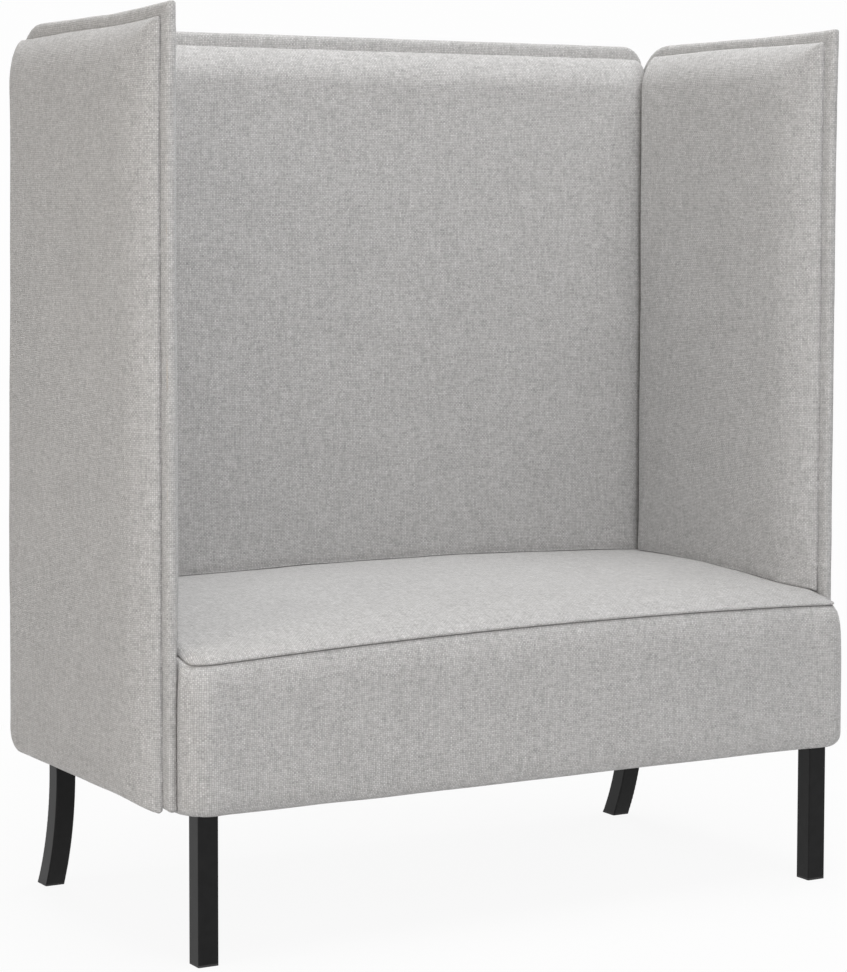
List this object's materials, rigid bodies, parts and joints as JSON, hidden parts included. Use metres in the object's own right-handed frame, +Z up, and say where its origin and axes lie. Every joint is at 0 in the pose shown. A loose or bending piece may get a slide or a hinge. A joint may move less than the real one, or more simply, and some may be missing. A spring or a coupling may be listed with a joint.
{
  "type": "high-back sofa",
  "caption": "High-back sofa with padded side and back panels around a crowned tight seat, on square steel legs that sweep backwards at the rear.",
  "frame": {"origin": "on the floor, under the middle of the sofa's box", "axes": "+X to the right as seen from the front, +Y from the front to the back, +Z up"},
  "size_m": [1.17, 0.585, 1.27],
  "materials": {
    "upholstery": "matte",
    "foam": "matte",
    "plywood": "matte",
    "frame_wood": "matte",
    "felt": "matte",
    "dust_cloth": "matte",
    "leg_steel": "satin",
    "glide_plastic": "matte",
    "spring_steel": "satin",
    "zinc_steel": "satin"
  },
  "bodies": {
    "root": {"left_panel_board": "plywood", "left_edge_wrap": "upholstery", "left_inner_pad_foam": "foam", "left_inner_pad_cover": "upholstery", "left_outer_pad_foam": "foam", "left_outer_pad_cover": "upholstery", "right_panel_board": "plywood", "right_edge_wrap": "upholstery", "right_inner_pad_foam": "foam", "right_inner_pad_cover": "upholstery", "right_outer_pad_foam": "foam", "right_outer_pad_cover": "upholstery", "back_panel_board": "plywood", "back_edge_wrap": "upholstery", "back_inner_pad_foam": "foam", "back_inner_pad_cover": "upholstery", "back_outer_pad_foam": "foam", "back_outer_pad_cover": "upholstery", "front_left_leg": "leg_steel", "front_left_glide": "glide_plastic", "front_left_corner_block": "frame_wood", "front_right_leg": "leg_steel", "front_right_glide": "glide_plastic", "front_right_corner_block": "frame_wood", "rear_left_leg": "leg_steel", "rear_left_glide": "glide_plastic", "rear_left_corner_block": "frame_wood", "rear_right_leg": "leg_steel", "rear_right_glide": "glide_plastic", "rear_right_corner_block": "frame_wood", "front_seat_rail": "frame_wood", "rear_seat_rail": "frame_wood", "left_seat_rail": "frame_wood", "right_seat_rail": "frame_wood", "centre_stretcher": "frame_wood", "seat_cover": "upholstery", "seat_foam": "foam", "spring_felt": "felt", "dust_cover": "dust_cloth", "seat_springs": "spring_steel", "spring_clips": "zinc_steel", "leg_screws": "zinc_steel", "panel_bolts": "zinc_steel", "panel_washers": "zinc_steel", "panel_tee_nuts": "zinc_steel", "board_joint_screws": "zinc_steel"}
  },
  "joints": []
}
